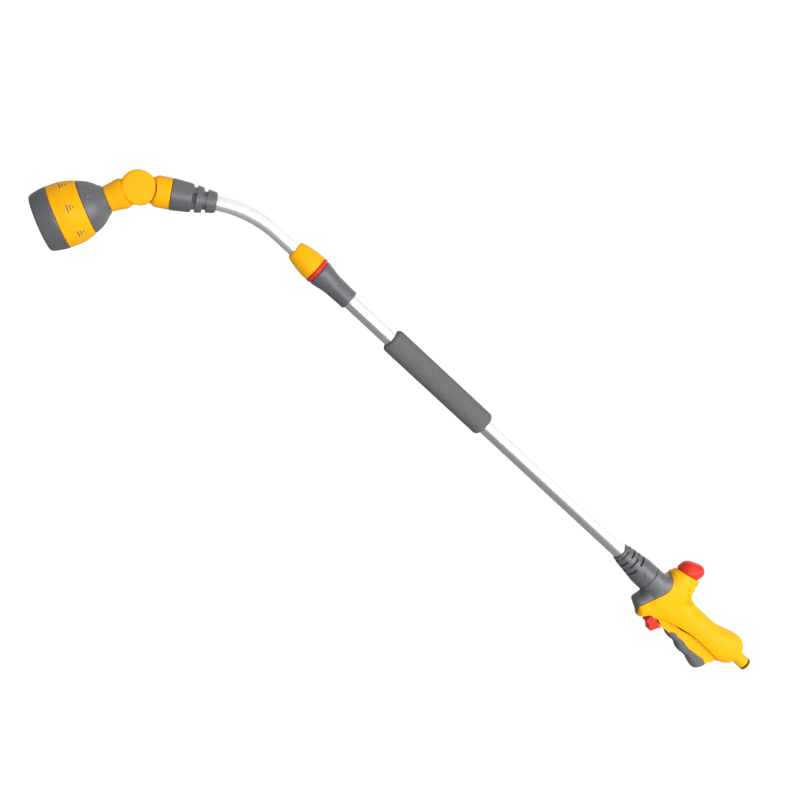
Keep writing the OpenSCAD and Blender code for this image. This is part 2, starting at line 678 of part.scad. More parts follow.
// grey socket on the gooseneck's end, with two ribbed relief rings
module arm_socket() {
    color([0.42, 0.43, 0.45]) on_arm() difference() {
        union() {
            rotate_extrude() polygon([[upper_r + fit, 39.4], [9.6, 39.4], [10.9, 40.4], [11.5, 41.2],
                [12.4, 46], [13.1, 50.4], [10.2, 50.6], [10.2, 54.4], [13.9, 54.8], [14.6, 58], [15.2, 62.2],
                [10.6, 62.6], [10.6, 65.4], [13.2, 65.6], [15.2, 66.6], [16, 68.2], [16.5, 73], [17.2, 81],
                [17.7, 89.3], [upper_r + fit, 89.3]]);
            for (a = [0, 180]) sector(9, 12.8, 50, 55, a + 65, 50);
            for (a = [0, 90, 180, 270]) sector(9, 13.8, 62, 66, a + 25, 40);
        }
        for (a = [-120, -60, 0, 60, 120, 180]) rotate([0, 0, a]) translate([18, 0, 73]) rotate([0, 5, 0]) {
            cylinder(r = 1.9, h = 7, $fn = 32);
            sphere(r = 1.9, $fn = 32);
            translate([0, 0, 7]) sphere(r = 1.9, $fn = 32);
        }
        translate([0, 0, 84]) cylinder(r = 13.1, h = 7);
    }
}

// one disc of the knuckle on local Y from 0.2 outwards, side +1 or -1
module disc_solid(side) {
    rotate([-90 * side, 0, 0]) rotate_extrude()
        polygon(concat([[0, 0.2], [knuckle_r, 0.2]], [for (a = [0 : 15 : 90])
            [knuckle_r - 4 + 4 * cos(a), knuckle_hw - 4 + 4 * sin(a)]], [[0, knuckle_hw]]));
}

// hollow of a disc: an annular chamber round a screw post
module disc_chamber(side) {
    rotate([-90 * side, 0, 0]) rotate_extrude() translate([4.6, -1]) square([7.4, knuckle_hw - 2]);
    rotate([-90 * side, 0, 0]) translate([0, 0, -1]) cylinder(r = 4.7, h = 3);
}

module arm_knuckle() {
    color([1, 0.75, 0.05]) difference() {
        union() {
            difference() {
                union() {
                    on_arm() rotate_extrude() polygon([[0, 89.5], [16.6, 89.5], [17.5, 90.4], [17.5, 104.6],
                        [16.8, 106.4], [14.4, 110], [0, 110]]);
                    on_arm() translate([0, 0, 84.4]) cylinder(r = 12.9, h = 6);
                }
                on_arm() translate([0, 0, pivot_at]) rotate([90, 0, 0])
                    cylinder(r = knuckle_r + 0.45, h = 60, center = true);
            }
            on_arm() intersection() {
                translate([0, 0, 106]) cylinder(r = 14.4, h = pivot_at - 106);
                translate([-30, 0.2, 0]) cube([60, 30, 200]);
            }
            on_arm() translate([0, 0, pivot_at]) disc_solid(1);
        }
        on_arm() translate([0, 0, pivot_at]) disc_chamber(1);
        // screw hole and head recess
        on_arm() translate([0, 0, pivot_at]) rotate([-90, 0, 0]) cylinder(r = 2.1, h = 30);
        on_arm() translate([0, 0, pivot_at + 0]) rotate([-90, 0, 0]) translate([0, 0, knuckle_hw - 2.6])
            cylinder(r = 4.8, h = 6);
        // seat of the tube, and the offset water way into the chamber
        on_arm() translate([0, 0, 80]) cylinder(r = upper_r + fit, h = 15.4);
        on_arm() translate([0, 0, 94]) cylinder(r = 6.6, h = 5);
        on_arm() translate([0, 6.6, 96]) cylinder(r = 4, h = 20);
    }
}

module knuckle_o_ring() {
    color([0.12, 0.12, 0.12]) on_arm() translate([0, 0, pivot_at]) rotate([90, 0, 0])
        rotate_extrude() translate([14.2, -0.15]) square([1.6, 0.3]);
}

module knuckle_screw() {
    color([0.7, 0.7, 0.72]) on_arm() translate([0, 0, pivot_at]) rotate([-90, 0, 0]) difference() {
        union() {
            translate([0, 0, -7.6]) cylinder(r = 2, h = 20.4);
            translate([0, 0, knuckle_hw - 2.5]) cylinder(r = 4.4, h = 2.1);
        }
        translate([0, 0, knuckle_hw - 1.9]) cylinder(r = 2, h = 4, $fn = 6);
    }
}

// ---------------------------------------------------------------- spray head

module head_knuckle() {
    color([1, 0.75, 0.05]) difference() {
        union() {
            difference() {
                on_head() rotate_extrude() polygon([[0, 12], [14.6, 12], [16.2, 16], [16.9, 18.6], [16.4, 22.5],
                    [15.4, 28], [14.6, 33.4], [14.3, 36.1], [11.9, 36.3], [11.9, 40.2], [10, 40.5], [10, 56], [0, 56]]);
                on_head() rotate([90, 0, 0]) cylinder(r = knuckle_r + 0.45, h = 60, center = true);
            }
            on_head() intersection() {
                cylinder(r = 14.2, h = 20);
                translate([-30, -30.2, -1]) cube([60, 30, 100]);
            }
            on_head() disc_solid(-1);
        }
        on_head() disc_chamber(-1);
        on_head() rotate([90, 0, 0]) translate([0, 0, -1]) cylinder(r = 2.05, h = 9);
        on_head() translate([0, -6.6, 4]) cylinder(r = 4, h = 28);
        on_head() translate([0, 0, 30]) cylinder(r = 6.4, h = 30);
    }
}

module rear_shell() {
    color([0.42, 0.43, 0.45]) on_head() difference() {
        union() {
            rotate_extrude() polygon([[12, 36.6], [14, 36.3], [15.4, 37.4], [18, 41], [21.4, 44.6], [24.4, 48.6],
                [27.2, 54], [29, 58.6], [29.7, 60.4], [28, 60.4], [26.6, 58], [24.4, 53.4], [22, 49.4],
                [19.4, 46.2], [16.2, 43], [10.2, 42.6], [10.2, 40.6], [12, 40.4]]);
            // pointer for the selector ring
            rotate([0, 0, -67.5]) translate([24, 0, 49.4]) rotate([0, 29, 0]) translate([0, 0, -1.5])
                cylinder(r1 = 0.9, r2 = 1.7, h = 7, $fn = 32);
        }
        rotate_extrude() translate([0, 44]) square([13, 20]);
    }
}

// fixed plate that carries the water to one chamber at a time
module feed_plate() {
    color([0.85, 0.85, 0.83]) on_head() difference() {
        union() {
            translate([0, 0, 56.1]) cylinder(r = 24, h = 4.9);
            translate([0, 0, 53.4]) cylinder(r = 12.6, h = 3);
        }
        translate([0, 0, 53]) cylinder(r = 10.05, h = 3);
        translate([0, 0, 50]) cylinder(r = 5.6, h = 8.6);
        translate([-14, -3, 56.4]) cube([14, 6, 2.2]);
        translate([-14.6, 0, 56.4]) cylinder(r = 4.1, h = 6);
        translate([0, 0, 57]) cylinder(r = 1.5, h = 6);
        translate([21, 0, 58]) cylinder(r = 2.1, h = 4);
    }
}

module port_spring() {
    color([0.7, 0.7, 0.72]) on_head() translate([-14.6, 0, 57]) coil(3, 0.45, 3.2, 2);
}

module port_seal() {
    color([0.12, 0.12, 0.12]) on_head() translate([-14.6, 0, 60.2]) difference() {
        cylinder(r = 4, h = 2.4);
        translate([0, 0, -1]) cylinder(r = 2.4, h = 5);
    }
}

module detent_ball() {
    color([0.8, 0.8, 0.82]) on_head() translate([21, 0, 60.6]) sphere(r = 2);
}

module turret_screw() {
    color([0.7, 0.7, 0.72]) on_head() difference() {
        union() {
            translate([0, 0, 57.2]) cylinder(r = 1.5, h = 9);
            translate([0, 0, 61.1]) cylinder(r = 3, h = 6.2);
            translate([0, 0, 67.3]) cylinder(r = 5.4, h = 2.4);
        }
        translate([0, 0, 68.3]) cylinder(r = 1.8, h = 3, $fn = 6);
    }
}

module distributor() {
    color([0.85, 0.85, 0.83]) on_head() difference() {
        union() {
            translate([0, 0, 62.9]) cylinder(r = 28.6, h = 4);
            translate([0, 0, 66.8]) rotate_extrude() translate([28.6, -3]) square([1.6, 3]);
        }
        translate([0, 0, 60]) cylinder(r = 3.06, h = 10);
        for (k = [0 : patterns - 1]) rotate([0, 0, step * k]) translate([-14.6, 0, 60]) cylinder(r = 2.2, h = 10);
        for (k = [0 : patterns - 1]) rotate([0, 0, step * k]) translate([21, 0, 62.9]) sphere(r = 1.6, $fn = 32);
    }
}

// turning outer ring, with a raised mark for each pattern
module selector_ring() {
    color([1, 0.75, 0.05]) on_head() {
        rotate_extrude() polygon([[27.9, 60.9], [29.9, 60.8], [31, 63], [32, 66], [33.3, 71], [34.4, 76],
            [34.9, 80], [head_r, 83], [head_r, 91.8], [32.7, 91.8], [32.7, 83], [32, 76], [30.6, 70],
            [30.3, 66.9], [30.3, 63.8], [28.4, 62.4]]);
        for (k = [0 : patterns - 1]) rotate([0, 0, step * k - 84]) {
            sector(31, 33.5, 70, 71.2, -2.5, 5);
            sector(31.6, 34.3, 73, 74.2, -5, 10);
            sector(32.2, 34.9, 76, 77.2, -7.5, 15);
        }
    }
}

module front_bezel() {
    color([0.42, 0.43, 0.45]) on_head() rotate_extrude() polygon([[32.6, 92], [head_r, 92], [head_r, 95],
        [34.6, 99], [33.9, 103], [33.1, 107], [32.2, 110.2], [31.2, 112.2], [29.6, 113], [28, 112.6],
        [28, 110.6], [30.2, 110.4], [30.2, 106], [31.4, 103], [32.5, 97]]);
}

// walls that part the spray patterns
module chamber_walls() {
    color([0.85, 0.85, 0.83]) on_head() {
        difference() {
            translate([0, 0, 67.1]) cylinder(r = 28.4, h = 38.6);
            translate([0, 0, 66]) cylinder(r = 27.2, h = 41);
        }
        difference() {
            translate([0, 0, 67.1]) cylinder(r = 7.6, h = 38.6);
            translate([0, 0, 66]) cylinder(r = 6.6, h = 41);
        }
        for (k = [0 : patterns - 1]) rotate([0, 0, step * (k + 0.5)]) translate([7.2, -0.6, 67.1]) cube([20.4, 1.2, 38.6]);
    }
}

// the rose: rings of fine holes, mist slots and a centre jet
module spray_plate() {
    color([0.55, 0.56, 0.58]) on_head() difference() {
        union() {
            translate([0, 0, 105.9]) cylinder(r = 30.1, h = 2);
            translate([0, 0, 107.9]) cylinder(r = 27.8, h = 3.4);
        }
        for (k = [0 : rose_holes - 1]) rotate([0, 0, 360 * k / rose_holes])
            translate([25, 0, 105]) cylinder(r = 0.65, h = 8, $fn = 24);
        for (k = [0 : 23]) rotate([0, 0, 15 * k]) translate([20.4, 0, 105]) cylinder(r = 0.65, h = 8, $fn = 24);
        for (k = [0 : 15]) rotate([0, 0, 22.5 * k]) translate([15.6, 0, 105]) cylinder(r = 0.65, h = 8, $fn = 24);
        for (k = [0 : patterns - 1]) rotate([0, 0, step * k]) translate([9.6, -0.5, 105]) cube([3, 1, 8]);
        translate([0, 0, 105]) cylinder(r = 2, h = 8);
        translate([0, 0, 109.4]) cylinder(r = 5.6, h = 3);
    }
}

placed() hose_tail();
placed() hose_tail_o_ring();
placed() handle_shell_near();
placed() handle_shell_far();
placed() shell_screws();
placed() front_saddle();
placed() tube_socket();
placed() inlet_pipe();
placed() trigger_valve_body();
placed() valve_stem();
placed() valve_seal();
placed() valve_spring();
placed() flow_valve_body();
placed() flow_spindle();
placed() spindle_o_ring();
placed() flow_knob();
placed() trigger_yoke();
placed() trigger_lever();
placed() trigger_pad();
placed() trigger_pin();
placed() trigger_lock();
placed() lock_pin();
placed() tube_seal();
placed() lower_tube();
placed() foam_sleeve();
placed() collar_body();
placed() collar_ring();
placed() collar_nut();
placed() collet();
placed() piston_bush();
placed() piston_o_ring();
placed() upper_tube();
placed() arm_socket();
placed() arm_knuckle();
placed() knuckle_o_ring();
placed() knuckle_screw();
placed() head_knuckle();
placed() rear_shell();
placed() feed_plate();
placed() port_seal();
placed() port_spring();
placed() detent_ball();
placed() distributor();
placed() turret_screw();
placed() selector_ring();
placed() front_bezel();
placed() chamber_walls();
placed() spray_plate();
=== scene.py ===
"""Looks of the watering wand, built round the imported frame."""

import json
import math

import bmesh
import bpy
from mathutils import Matrix, Vector, noise

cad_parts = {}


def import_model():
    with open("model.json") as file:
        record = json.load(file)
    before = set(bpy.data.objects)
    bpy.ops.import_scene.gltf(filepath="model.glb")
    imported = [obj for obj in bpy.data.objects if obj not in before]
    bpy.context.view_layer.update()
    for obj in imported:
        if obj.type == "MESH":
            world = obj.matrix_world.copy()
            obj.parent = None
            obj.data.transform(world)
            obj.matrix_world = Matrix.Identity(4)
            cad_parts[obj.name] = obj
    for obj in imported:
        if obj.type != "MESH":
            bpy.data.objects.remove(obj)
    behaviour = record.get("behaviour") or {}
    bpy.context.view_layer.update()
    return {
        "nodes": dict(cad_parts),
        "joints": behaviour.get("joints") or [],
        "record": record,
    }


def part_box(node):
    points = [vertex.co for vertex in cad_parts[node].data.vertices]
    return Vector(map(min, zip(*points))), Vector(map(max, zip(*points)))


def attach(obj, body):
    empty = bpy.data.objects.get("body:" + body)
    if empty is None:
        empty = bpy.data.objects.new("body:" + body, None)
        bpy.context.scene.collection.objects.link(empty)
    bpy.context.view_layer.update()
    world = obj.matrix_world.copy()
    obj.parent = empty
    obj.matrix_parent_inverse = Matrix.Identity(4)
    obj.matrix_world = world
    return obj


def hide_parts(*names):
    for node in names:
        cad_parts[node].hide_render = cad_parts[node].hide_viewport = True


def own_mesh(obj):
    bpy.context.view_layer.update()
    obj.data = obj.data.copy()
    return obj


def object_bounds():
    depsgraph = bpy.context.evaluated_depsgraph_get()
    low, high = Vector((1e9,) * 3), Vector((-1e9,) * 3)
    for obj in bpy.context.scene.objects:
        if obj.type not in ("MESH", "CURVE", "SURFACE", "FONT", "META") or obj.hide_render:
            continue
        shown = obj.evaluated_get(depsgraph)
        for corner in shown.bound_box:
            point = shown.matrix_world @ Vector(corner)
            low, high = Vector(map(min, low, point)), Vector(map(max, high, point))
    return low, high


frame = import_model()
NODES = frame["nodes"]
MM = 0.001

# ---------------------------------------------------------------- materials


def srgb(r, g, b):
    """A display colour of 0 to 255 as the linear colour that the shader takes."""
    def line(c):
        c /= 255
        return c / 12.92 if c <= 0.04045 else ((c + 0.055) / 1.055) ** 2.4
    return (line(r), line(g), line(b), 1.0)


class Look:
    """A material with one Principled shader, fed by noise in the object's own space."""

    def __init__(self, name, rough, metallic=0.0, spec=0.5):
        self.mat = bpy.data.materials.new(name)
        self.mat.use_nodes = True
        self.tree = self.mat.node_tree
        self.shader = self.tree.nodes["Principled BSDF"]
        self.shader.inputs["Roughness"].default_value = rough
        self.shader.inputs["Metallic"].default_value = metallic
        self.shader.inputs["Specular IOR Level"].default_value = spec
        self.space = self.tree.nodes.new("ShaderNodeTexCoord")

    def link(self, a, b):
        self.tree.links.new(a, b)

    def noise(self, scale, detail=3.0, stretch=(1, 1, 1)):
        shift = self.tree.nodes.new("ShaderNodeMapping")
        shift.inputs["Scale"].default_value = stretch
        tex = self.tree.nodes.new("ShaderNodeTexNoise")
        tex.inputs["Scale"].default_value = scale
        tex.inputs["Detail"].default_value = detail
        self.link(self.space.outputs["Object"], shift.inputs["Vector"])
        self.link(shift.outputs["Vector"], tex.inputs["Vector"])
        return tex.outputs["Fac"]

    def ramp(self, fac, low, high, start=0.3, end=0.7):
        node = self.tree.nodes.new("ShaderNodeValToRGB")
        node.color_ramp.elements[0].position = start
        node.color_ramp.elements[0].color = low
        node.color_ramp.elements[1].position = end
        node.color_ramp.elements[1].color = high
        self.link(fac, node.inputs["Fac"])
        return node.outputs["Color"]

    def colour(self, low, high, scale=30.0, stretch=(1, 1, 1)):
        self.link(self.ramp(self.noise(scale, 4.0, stretch), low, high), self.shader.inputs["Base Color"])

    def roughness(self, low, high, scale=60.0, stretch=(1, 1, 1)):
        node = self.tree.nodes.new("ShaderNodeMapRange")
        node.inputs["To Min"].default_value = low
        node.inputs["To Max"].default_value = high
        self.link(self.noise(scale, 3.0, stretch), node.inputs["Value"])
        self.link(node.outputs["Result"], self.shader.inputs["Roughness"])

    def bump(self, scale, depth, stretch=(1, 1, 1), detail=2.0):
        node = self.tree.nodes.new("ShaderNodeBump")
        node.inputs["Distance"].default_value = depth
        node.inputs["Strength"].default_value = 0.6
        self.link(self.noise(scale, detail, stretch), node.inputs["Height"])
        self.link(node.outputs["Normal"], self.shader.inputs["Normal"])


def yellow_plastic():
    k = Look("yellow_plastic", 0.42, spec=0.12)
    k.colour(srgb(249, 174, 3), srgb(252, 180, 5), 18)
    k.roughness(0.38, 0.48, 90)
    k.bump(1400, 0.00003)
    return k.mat


def grey_plastic():
    k = Look("grey_plastic", 0.42, spec=0.6)
    k.colour(srgb(86, 87, 90), srgb(93, 94, 97), 40)
    k.roughness(0.37, 0.46, 120)
    k.bump(1800, 0.00006, detail=4)
    return k.mat


def soft_grip():
    k = Look("soft_grip", 0.72, spec=0.3)
    k.colour(srgb(97, 98, 98), srgb(104, 105, 105), 60)
    k.roughness(0.66, 0.8, 150)
    k.bump(2400, 0.00008, detail=5)
    return k.mat


def red_plastic():
    k = Look("red_plastic", 0.4, spec=0.25)
    k.colour(srgb(218, 44, 30), srgb(226, 50, 36), 25)
    k.roughness(0.34, 0.44, 90)
    k.bump(1400, 0.00003)
    return k.mat


def foam():
    k = Look("foam", 0.95, spec=0.15)
    k.colour(srgb(98, 100, 99), srgb(108, 110, 109), 420)
    k.roughness(0.88, 1.0, 300)
    k.bump(900, 0.0002, detail=6)
    return k.mat


def alu(name, rough, metallic, stretch=(1, 1, 1)):
    """Drawn tube, with streaks along it where stretch is small."""
    k = Look(name, rough, metallic=metallic)
    k.colour(srgb(236, 237, 239), srgb(244, 245, 247), 90, stretch)
    k.roughness(rough - 0.03, rough + 0.04, 700, stretch)
    k.bump(2600, 0.000006, stretch)
    return k.mat


def plain(name, low, high, rough, metallic=0.0, scale=60):
    k = Look(name, rough, metallic)
    k.colour(low, high, scale)
    k.roughness(max(rough - 0.06, 0.05), min(rough + 0.06, 1), 140)
    k.bump(1500, 0.00004)
    return k.mat


LOOKS = {
    "yellow": yellow_plastic(),
    "grey": grey_plastic(),
    "soft_grey": soft_grip(),
    "red": red_plastic(),
    "foam": foam(),
    "alu": alu("satin_aluminium", 0.3, 1.0, (0.02, 1, 1)),
    "natural": plain("natural_plastic", srgb(222, 221, 214), srgb(232, 231, 226), 0.5),
    "dark": plain("dark_plastic", srgb(38, 38, 40), srgb(46, 46, 48), 0.5),
    "seal": plain("seal_rubber", srgb(22, 22, 22), srgb(30, 30, 30), 0.6),
    "steel": plain("stainless_steel", srgb(178, 179, 182), srgb(192, 193, 196), 0.3, 1.0),
    "brass": plain("turned_brass", srgb(196, 160, 92), srgb(208, 172, 104), 0.3, 1.0),
}
SLOTS = {s["node"]: s["material_slot"] for s in frame["record"]["subparts"]}
for name, node in NODES.items():
    if not node.material_slots:
        node.data.materials.append(None)
    for s in node.material_slots:
        s.link = "OBJECT"
        s.material = LOOKS[SLOTS[name]]
for s in NODES["upper_tube"].material_slots:
    s.material = alu("matt_aluminium", 0.42, 0.85)

# ---------------------------------------------------------------- shapes

# outlines are in mm, with x from the handle's datum plane; the lower tube starts 186 mm in front of it
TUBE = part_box("lower_tube")
DATUM = TUBE[1][0] / MM + 186
TUBE_Z = (TUBE[0][2] + TUBE[1][2]) / 2 / MM


def finish_piece(name, mesh, body, look, stands_for=()):
    """A new object of that mesh, riding on its body and standing for those CAD nodes."""
    obj = bpy.data.objects.new(name, mesh)
    bpy.context.scene.collection.objects.link(obj)
    mesh.materials.clear()
    mesh.materials.append(look)
    for p in mesh.polygons:
        p.use_smooth = True
    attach(obj, body)
    if stands_for:
        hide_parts(*stands_for)
    return obj


def spline(rows, steps):
    """A smooth open curve through the rows, steps points to each stretch."""
    out = []
    for i in range(len(rows) - 1):
        p = [rows[max(i - 1, 0)], rows[i], rows[i + 1], rows[min(i + 2, len(rows) - 1)]]
        for k in range(steps):
            t = k / steps
            out.append(tuple(0.5 * (2 * b + (c - a) * t + (2 * a - 5 * b + 4 * c - d) * t * t
                                    + (3 * b - a - 3 * c + d) * t ** 3) for a, b, c, d in zip(*p)))
    out.append(tuple(rows[-1]))
    return out


def oval(hw, hh, power, n):
    """n points of a rounded oval, squarer as power falls below 1."""
    pts = []
    for i in range(n):
        c, s = math.cos(2 * math.pi * i / n), math.sin(2 * math.pi * i / n)
        pts.append((hw * math.copysign(abs(c) ** power, c), hh * math.copysign(abs(s) ** power, s)))
    return pts


def skin(rings):
    """Vertices and faces of a closed skin over rings of equal length."""
    n = len(rings[0])
    verts = [p for r in rings for p in r]
    faces = [tuple(range(n))[::-1], tuple(range((len(rings) - 1) * n, len(rings) * n))]
    for i in range(len(rings) - 1):
        for j in range(n):
            k = (j + 1) % n
            faces.append((i * n + j, i * n + k, (i + 1) * n + k, (i + 1) * n + j))
    return verts, faces


def solid(name, verts, faces):
    """A temporary closed mesh object, in millimetres, with its normals outwards."""
    mesh = bpy.data.meshes.new(name)
    mesh.from_pydata(verts, [], faces)
    bm = bmesh.new()
    bm.from_mesh(mesh)
    bmesh.ops.recalc_face_normals(bm, faces=bm.faces)
    bm.to_mesh(mesh)
    bm.free()
    obj = bpy.data.objects.new(name, mesh)
    bpy.context.scene.collection.objects.link(obj)
    return obj


def skin_x(name, rows, grow=0.0, n=96, power=0.84, steps=6):
    rings = []
    for x, top, bottom, hw in spline(rows, steps):
        mid, hh = (top + bottom) / 2 + TUBE_Z, (top - bottom) / 2 + grow
        rings.append([(x, a, mid + b) for a, b in oval(hw + grow, hh, power, n)])
    return solid(name, *skin(rings))


def skin_z(name, rows, grow=0.0, n=96, power=0.74, steps=6):
    rings = []
    for z, front, rear, hw in spline(rows, steps):
        mid, half = (front + rear) / 2, (rear - front) / 2 + grow
        rings.append([(mid + a, b, z + TUBE_Z) for a, b in oval(half, hw + grow, power, n)])
    return solid(name, *skin(rings))


def plate(name, outline, y0, y1):
    """A side outline in x and z, from y0 to y1."""
    n = len(outline)
    verts = [(x, y, z + TUBE_Z) for y in (y0, y1) for x, z in outline]
    faces = [tuple(range(n)), tuple(range(2 * n - 1, n - 1, -1))]
    faces += [(i, (i + 1) % n, n + (i + 1) % n, n + i) for i in range(n)]
    return solid(name, verts, faces)


def rod(name, a, b, r, n=48):
    """A cylinder from a to b."""
    a, b = Vector(a), Vector(b)
    turn = (b - a).to_track_quat("Z", "Y")
    angles = [2 * math.pi * i / n for i in range(n)]
    ring = [turn @ Vector((r * math.cos(t), r * math.sin(t), 0)) for t in angles]
    return solid(name, *skin([[tuple(a + p) for p in ring], [tuple(b + p) for p in ring]]))


def bake(obj):
    """Applies the modifiers to the object's mesh."""
    deps = bpy.context.evaluated_depsgraph_get()
    mesh = bpy.data.meshes.new_from_object(obj.evaluated_get(deps))
    old = obj.data
    obj.modifiers.clear()
    obj.data = mesh
    bpy.data.meshes.remove(old)
    return obj


def cut(obj, *tools, how="DIFFERENCE"):
    for t in tools:
        m = obj.modifiers.new("cut", "BOOLEAN")
        m.operation = how
        m.solver = "MANIFOLD"
        m.object = t
        bake(obj)
        bpy.data.objects.remove(t)
    return obj


def soften(obj, voxel, rounds, keep=1.0):
    """Rounds every edge by about the voxel size: remesh, relax, then thin out."""
    m = obj.modifiers.new("remesh", "REMESH")
    m.mode = "VOXEL"
    m.voxel_size = voxel
    m = obj.modifiers.new("relax", "SMOOTH")
    m.factor = 0.5
    m.iterations = rounds
    if keep < 1:
        m = obj.modifiers.new("thin", "DECIMATE")
        m.ratio = keep
    return bake(obj)


def copy_of(name):
    """A copy of a CAD node's mesh in millimetres, with its split vertices joined."""
    bm = bmesh.new()
    bm.from_mesh(NODES[name].data)
    to_datum = Matrix.Translation((-DATUM, 0, 0)) @ Matrix.Scale(1 / MM, 4)
    bmesh.ops.transform(bm, matrix=to_datum, verts=bm.verts)
    bmesh.ops.remove_doubles(bm, verts=bm.verts, dist=1e-4)
    mesh = bpy.data.meshes.new(name + "_copy")
    bm.to_mesh(mesh)
    bm.free()
    obj = bpy.data.objects.new(name + "_copy", mesh)
    bpy.context.scene.collection.objects.link(obj)
    return obj


def settle(obj, name, body, look, stands_for=()):
    """Turns a temporary solid in millimetres into a finished piece."""
    mesh = obj.data
    bpy.data.objects.remove(obj)
    mesh.transform(Matrix.Scale(MM, 4) @ Matrix.Translation((DATUM, 0, 0)))
    mesh.name = name
    return finish_piece(name, mesh, body, look, stands_for)

# ---------------------------------------------------------------- handle

WALL = 2.6
DECK_PLACE, DECK_TILT = (-149.2, 35.8), math.radians(12.3)

# grip sections: x, top z, bottom z, half width, in mm with z from the tube's axis
GRIP = [(-24.9, 12, -5.6, 9), (-25.8, 14.2, -7.2, 10.6), (-28.3, 17.8, -10.4, 12.8), (-32, 21.1, -13.9, 14.8),
        (-37, 23.2, -16.6, 16.2), (-43, 23.4, -19.2, 16.8), (-51, 22, -21.5, 16.8), (-62, 18.8, -22.5, 16.3),
        (-70, 16.3, -22.8, 15.9), (-78, 14.9, -23, 15.6), (-90, 14.5, -24, 15.6), (-105, 14.8, -26, 16),
        (-115, 15.1, -28, 16.6), (-126, 17, -30, 17.2), (-140, 17, -32, 17.4)]
# tower and chin sections: z, front x, rear x, half width
TOWER = [(-43.4, -163.6, -152, 9.2), (-39.4, -166.6, -148, 12), (-32, -167.5, -142, 13.8),
         (-22, -167.5, -133, 15.6), (-8, -167, -124.5, 17.2), (6, -167, -122, 17.9),
         (14, -167.4, -123.5, 17.8), (20, -167.9, -128.4, 17.5), (27, -168, -130.7, 17.2)]
CHIN = [(-43.8, -162.5, -156.5, 8.5), (-42.6, -164.5, -154.5, 9.8), (-39, -169, -151, 12),
        (-35, -177.2, -148, 13.2), (-30.7, -183.2, -145, 13.9), (-20.5, -180.8, -141, 15.3),
        (-15, -180.2, -141, 15.8)]
SADDLE = [(-144, 26, -34, 17.9), (-161, 26, -34, 17.6), (-166.5, 23.2, -30, 17.4), (-168.4, 20.2, -24, 17.4),
          (-171, 17.9, -20, 17.3), (-175.6, 17.25, -17.25, 17.25), (-186.9, 17.15, -17.15, 17.15)]
# the edge between saddle and shells, and the shells' lower rim, in x and z
SADDLE_EDGE = spline([(-167.1, 23.4), (-167.2, 21.4), (-163.8, 17.6), (-161, 11.6), (-160.2, 5.4),
                      (-162, -2.2), (-165.3, -10), (-168.3, -19.5), (-171.2, -27), (-173.8, -34.1)], 8)
RIM = spline([(-163, -43.2), (-157, -34.2), (-151, -31.2), (-145, -29.4), (-136, -25.5), (-124.5, -21.7),
              (-112.5, -19), (-97, -16.5), (-85, -15.6), (-64, -15.7), (-49, -16.9)], 8)
LEVER_HW, LOCK_HW, GAP = 8.8, 7.6, 0.35
# soft grip sections: x, top z, bottom z, half width; and the lever's edge that it wraps, in x and z
PAD = [(-120.6, -33.2, -34.2, 6.8), (-118.6, -29.6, -35, 9), (-115.5, -26.4, -36.3, 10),
       (-111, -25.4, -36.8, 10.3), (-105.5, -26.9, -36.4, 10.3), (-100, -26.1, -37.2, 10.3),
       (-95.5, -25.3, -39.8, 10.3), (-90, -26.8, -40.9, 10.3),
       (-84, -27.7, -40.6, 10.3), (-78, -27, -40.3, 10.3), (-71, -25.8, -42.6, 10.3), (-64, -24, -44.5, 10.3),
       (-60, -23.5, -44.7, 10.3), (-56.5, -24.4, -42.6, 9.8), (-53.6, -26.6, -37, 9), (-52, -28.6, -30, 7.6)]
PAD_CORE = [(-124, -10), (-124, -33.6), (-122.9, -33.3), (-113.5, -32.5), (-103.5, -33.1),
            (-95.5, -35.5), (-82, -35.5), (-74, -37.9), (-66, -39.3), (-59, -36.1), (-55, -31.6),
            (-52.6, -29.5), (-49.8, -26.5), (-46, -20), (-46, -10)]


def deck_point(a, b, c):
    """A point a along the deck, b across it and c above it."""
    s, t = math.sin(DECK_TILT), math.cos(DECK_TILT)
    return (DECK_PLACE[0] + a * t - c * s, b, DECK_PLACE[1] + TUBE_Z + a * s + c * t)


def deck(grow=0.0, lift=0.0, n=96):
    """The cap under the knob: two level rings, then four tilted ones that round its edge."""
    foot = oval(18.3 + grow, 16.8 + grow, 0.78, n)
    rings = [[(DECK_PLACE[0] + a, b, TUBE_Z + z) for a, b in foot] for z in (18, 23)]
    for c, ra, rb, power in ((-2.6, 17.9, 16.5, 0.9), (-1.2, 17.6, 16.3, 0.92),
                             (-0.4, 17.1, 15.9, 0.94), (0, 16.3, 15.1, 0.95)):
        rings.append([deck_point(a, b, c + lift) for a, b in oval(ra + grow, rb + grow, power, n)])
    return solid("deck", *skin(rings))


def saddle_side(shift):
    edge = [(x + shift, z) for x, z in SADDLE_EDGE]
    corners = [(-162.9 + shift, -43.4), (-162.9 + shift, -60), (-260, -60), (-260, 23.4)]
    return plate("saddle_side", edge + corners, -40, 40)


def half_space(side):
    y0, y1 = (-60, -0.04) if side < 0 else (0.04, 60)
    return plate("half", [(-260, -90), (20, -90), (20, 90), (-260, 90)], y0, y1)


def across(x, z, r, y0, y1, n=32):
    return rod("across", (x, y0, z + TUBE_Z), (x, y1, z + TUBE_Z), r, n)


def along(xa, xb, z, r):
    return rod("along", (xa, 0, z + TUBE_Z), (xb, 0, z + TUBE_Z), r, 96)


